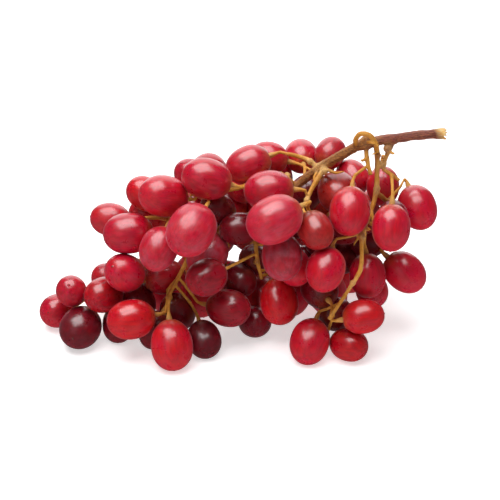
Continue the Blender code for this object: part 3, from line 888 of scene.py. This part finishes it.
class StemSettings(bpy.types.PropertyGroup):
    """What a user would change on the stem."""

    voxel: length_property("Detail", "Size of the faces the stem is grown from", 0.3 * MM)
    smoothing: count_property("Smoothing", "How often the skin is smoothed", 4)
    kept_faces: bpy.props.FloatProperty(
        name="Kept faces",
        description="Share of the faces kept after smoothing",
        default=0.45,
        subtype="FACTOR",
    )
    blur: count_property("Blur", "How gradually bark turns to gold", 20)
    roughness: length_property("Roughness", "Height of the bark's knobs", 0.16 * MM)
    fibres: count_property("Fibres", "Fibres round the torn end", 18, 3)
    collar_width: length_property("Collar width", "Width where a stalk meets its grape", 2.9 * MM)


class SkinSettings(bpy.types.PropertyGroup):
    """The colours of the grapes."""

    red_cool: colour_property("Red, cool", "Crimson that leans to magenta", 0.62, 0.002, 0.032)
    red_warm: colour_property("Red, warm", "Crimson that leans to orange", 0.66, 0.004, 0.009)
    red_deep: colour_property("Red, deep", "The darkest red", 0.20, 0.0006, 0.005)
    red_stalk: colour_property("Red, by the stalk", "Red skin round the stalk", 0.52, 0.10, 0.03)
    # The dark skin colours of the grapes deep in the bunch are partly a darker tone and partly painted
    # shade.
    dark_cool: colour_property("Dark, cool", "Purple-red", 0.26, 0.001, 0.014)
    dark_warm: colour_property("Dark, warm", "Dark red", 0.28, 0.001, 0.004)
    dark_deep: colour_property("Dark, deep", "Nearly black red", 0.11, 0.0005, 0.005)
    dark_stalk: colour_property("Dark, by the stalk", "Dark skin round the stalk", 0.22, 0.03, 0.01)
    amber_cool: colour_property("Amber, cool", "Brownish red", 0.52, 0.012, 0.014)
    amber_warm: colour_property("Amber, warm", "Reddish brown", 0.52, 0.026, 0.012)
    amber_deep: colour_property("Amber, deep", "Deep red of the unripe grapes", 0.14, 0.002, 0.003)
    amber_stalk: colour_property("Amber, by the stalk", "Olive skin round the stalk", 0.40, 0.18, 0.055)
    bloom: colour_property("Bloom", "The wax on the skin", 0.56, 0.34, 0.46)
    dots: colour_property("Dots", "The pale dots in the skin", 0.78, 0.36, 0.30)
    scar: colour_property("Scar", "The flower scar at the tip", 0.10, 0.035, 0.02)
    bloom_cover: number_property("Bloom cover", "How much a full bloom hides the skin", 0.035)
    stalk_reach: number_property("Stalk reach", "How far the stalk's colour reaches, -1 to 1", -0.6)
    amber_reach: number_property("Amber reach", "The same for the unripe grapes", -0.1)


class BarkSettings(bpy.types.PropertyGroup):
    """The colours of the stem."""

    gold: colour_property("Gold", "Lit side of the stalks", 0.84, 0.40, 0.055)
    gold_deep: colour_property("Deep gold", "Dull side of the stalks", 0.60, 0.24, 0.022)
    fleck: colour_property("Flecks", "Dark flecks and cracks", 0.17, 0.055, 0.018)
    brown: colour_property("Brown", "The lower main stem", 0.50, 0.20, 0.045)
    bark: colour_property("Bark", "The upper main stem", 0.32, 0.075, 0.045)
    bark_deep: colour_property("Deep bark", "Cracks of the upper main stem", 0.10, 0.020, 0.018)
    joint: colour_property("Joints", "Swollen joints and collars", 0.92, 0.58, 0.20)
    straw: colour_property("Straw", "Torn fibres of the cut end", 0.86, 0.72, 0.36)


class StageSettings(bpy.types.PropertyGroup):
    """The floor, the lights and the camera."""

    floor_size: length_property("Floor size", "Width of the floor", 6.0)
    floor_glow: number_property("Floor glow", "Light from below the floor", 0.55)
    focal_length: bpy.props.FloatProperty(
        name="Focal length", description="Focal length in millimetres", default=85.0
    )
    distance: length_property("Distance", "From the camera to the bunch", 0.5366)
    elevation: bpy.props.FloatProperty(
        name="Elevation",
        description="Height of the camera above the horizon",
        default=math.radians(28),
        subtype="ANGLE",
    )
    key_power: number_property("Key power", "Power of the lamp above, in watts", 9.5)
    back_power: number_property("Back power", "Power of the panel behind, in watts", 9.0)
    fill_power: number_property("Fill power", "Power of the front lamp, in watts", 0.35)
    backdrop_strength: number_property("Backdrop", "Brightness behind the floor", 0.95)
    sky_strength: number_property("Sky strength", "Light from all round", 0.06)


# ---------------------------------------------------------------- operators


def make_group(context, *starts):
    """Makes a grape piece for each solid whose name starts this way."""
    for node in sorted(frame["nodes"]):
        if node.startswith(starts):
            name = node.replace("berries_", "grapes_").replace("berry_", "grape_")
            make_grapes(node, name, context.scene.grape_settings)


class BUNCH_OT_stage(bpy.types.Operator):
    """Make the floor, the soft light and the camera"""

    bl_idname = "bunch.stage"
    bl_label = "Stage"

    def execute(self, context):
        settings = context.scene.stage_settings
        bpy.ops.mesh.primitive_plane_add(size=settings.floor_size, location=(0, 0, -FLOOR_BELOW))
        floor = context.object
        floor.name = "floor"
        floor.data.materials.append(floor_material(settings.floor_glow))
        floor.visible_glossy = False
        world = bpy.data.worlds.new("studio")
        context.scene.world = world
        world.use_nodes = True
        tree = world.node_tree
        sky = tree.nodes["Background"]
        sky.inputs["Color"].default_value = colour(1.0, 1.0, 1.0)
        sky.inputs["Strength"].default_value = settings.sky_strength
        backdrop = tree.nodes.new("ShaderNodeBackground")
        backdrop.inputs["Color"].default_value = colour(1.0, 1.0, 1.0)
        backdrop.inputs["Strength"].default_value = settings.backdrop_strength
        seen = tree.nodes.new("ShaderNodeMixShader")
        tree.links.new(tree.nodes.new("ShaderNodeLightPath").outputs["Is Camera Ray"], seen.inputs[0])
        tree.links.new(sky.outputs[0], seen.inputs[1])
        tree.links.new(backdrop.outputs[0], seen.inputs[2])
        tree.links.new(seen.outputs[0], tree.nodes["World Output"].inputs["Surface"])
        for name, place, size, power in (
            ("lamp_above", (-0.12, -0.05, 0.85), 0.8, settings.key_power),
            ("panel_behind", (0.0, 1.1, 0.5), 1.5, settings.back_power),
            ("lamp_front", (-0.45, -0.85, 0.5), 0.7, settings.fill_power),
        ):
            lamp = bpy.data.lights.new(name, "AREA")
            lamp.energy = power
            lamp.size = size
            thing = bpy.data.objects.new(name, lamp)
            context.scene.collection.objects.link(thing)
            thing.location = place
            thing.visible_camera = False
            towards = LAMP_AIM - thing.location
            thing.rotation_euler = towards.to_track_quat("-Z", "Y").to_euler()
        camera = bpy.data.cameras.new("camera")
        camera.lens = settings.focal_length
        camera.clip_start = 0.01
        thing = bpy.data.objects.new("camera", camera)
        context.scene.collection.objects.link(thing)
        sine, cosine = math.sin(settings.elevation), math.cos(settings.elevation)
        aim = CAMERA_AIM - Vector((0, sine, cosine)) * CAMERA_AIM_BELOW * MM
        thing.location = aim + Vector((0, -cosine, sine)) * settings.distance
        thing.rotation_euler = (math.pi / 2 - settings.elevation, 0, 0)
        context.scene.camera = thing
        context.scene.view_settings.view_transform = "Standard"
        return {"FINISHED"}


class BUNCH_OT_front_grapes(bpy.types.Operator):
    """Make the large grapes at the front"""

    bl_idname = "bunch.front_grapes"
    bl_label = "Front grapes"

    def execute(self, context):
        make_group(context, "berry_front")
        return {"FINISHED"}


class BUNCH_OT_left_grapes(bpy.types.Operator):
    """Make the grapes at the left and on the thin tail"""

    bl_idname = "bunch.left_grapes"
    bl_label = "Left and tail grapes"

    def execute(self, context):
        make_group(context, "berry_left", "berry_tail")
        return {"FINISHED"}


class BUNCH_OT_top_grapes(bpy.types.Operator):
    """Make the grapes along the top"""

    bl_idname = "bunch.top_grapes"
    bl_label = "Top grapes"

    def execute(self, context):
        make_group(context, "berry_top")
        return {"FINISHED"}


class BUNCH_OT_wing_grapes(bpy.types.Operator):
    """Make the grapes of the wing and those that hang in front of it"""

    bl_idname = "bunch.wing_grapes"
    bl_label = "Wing grapes"

    def execute(self, context):
        make_group(context, "berry_wing", "berry_hanging")
        return {"FINISHED"}


class BUNCH_OT_floor_grapes(bpy.types.Operator):
    """Make the grapes that the bunch lies on"""

    bl_idname = "bunch.floor_grapes"
    bl_label = "Floor grapes"

    def execute(self, context):
        make_group(context, "berry_floor", "berries_under")
        return {"FINISHED"}


class BUNCH_OT_inner_grapes(bpy.types.Operator):
    """Make the dark grapes deep in the bunch"""

    bl_idname = "bunch.inner_grapes"
    bl_label = "Inner grapes"

    def execute(self, context):
        make_group(context, "berries_core")
        return {"FINISHED"}


class BUNCH_OT_far_grapes(bpy.types.Operator):
    """Make the grapes on the far side"""

    bl_idname = "bunch.far_grapes"
    bl_label = "Far grapes"

    def execute(self, context):
        make_group(context, "berries_far")
        return {"FINISHED"}


class BUNCH_OT_stem(bpy.types.Operator):
    """Make the main stem with its branches and stalks"""

    bl_idname = "bunch.stem"
    bl_label = "Stem"

    def execute(self, context):
        make_stem(context.scene.stem_settings)
        return {"FINISHED"}


class BUNCH_PT_panel(bpy.types.Panel):
    """Lists the pieces of the bunch and their settings"""

    bl_label = "Bunch of grapes"
    bl_idname = "BUNCH_PT_panel"
    bl_space_type = "VIEW_3D"
    bl_region_type = "UI"
    bl_category = "Grapes"

    def draw(self, context):
        for settings in (getattr(context.scene, name) for name in SETTINGS):
            box = self.layout.box()
            for name in settings.__annotations__:
                box.prop(settings, name)
        for operator in OPERATORS:
            self.layout.operator(operator.bl_idname)


OPERATORS = (
    BUNCH_OT_stage,
    BUNCH_OT_front_grapes,
    BUNCH_OT_left_grapes,
    BUNCH_OT_top_grapes,
    BUNCH_OT_wing_grapes,
    BUNCH_OT_floor_grapes,
    BUNCH_OT_inner_grapes,
    BUNCH_OT_far_grapes,
    BUNCH_OT_stem,
)
SETTINGS = {
    "grape_settings": GrapeSettings,
    "skin_settings": SkinSettings,
    "stem_settings": StemSettings,
    "bark_settings": BarkSettings,
    "stage_settings": StageSettings,
}


def register():
    for settings in SETTINGS.values():
        bpy.utils.register_class(settings)
    for operator in OPERATORS:
        bpy.utils.register_class(operator)
    bpy.utils.register_class(BUNCH_PT_panel)
    for name, settings in SETTINGS.items():
        setattr(bpy.types.Scene, name, bpy.props.PointerProperty(type=settings))


def unregister():
    for name in SETTINGS:
        delattr(bpy.types.Scene, name)
    bpy.utils.unregister_class(BUNCH_PT_panel)
    for operator in reversed(OPERATORS):
        bpy.utils.unregister_class(operator)
    for settings in reversed(list(SETTINGS.values())):
        bpy.utils.unregister_class(settings)


GRAPES = find_all_grapes()


def main():
    register()
    bpy.ops.bunch.stage()
    bpy.ops.bunch.front_grapes()
    bpy.ops.bunch.left_grapes()
    bpy.ops.bunch.top_grapes()
    bpy.ops.bunch.wing_grapes()
    bpy.ops.bunch.floor_grapes()
    bpy.ops.bunch.inner_grapes()
    bpy.ops.bunch.far_grapes()
    bpy.ops.bunch.stem()


if __name__ == "__main__":
    main()
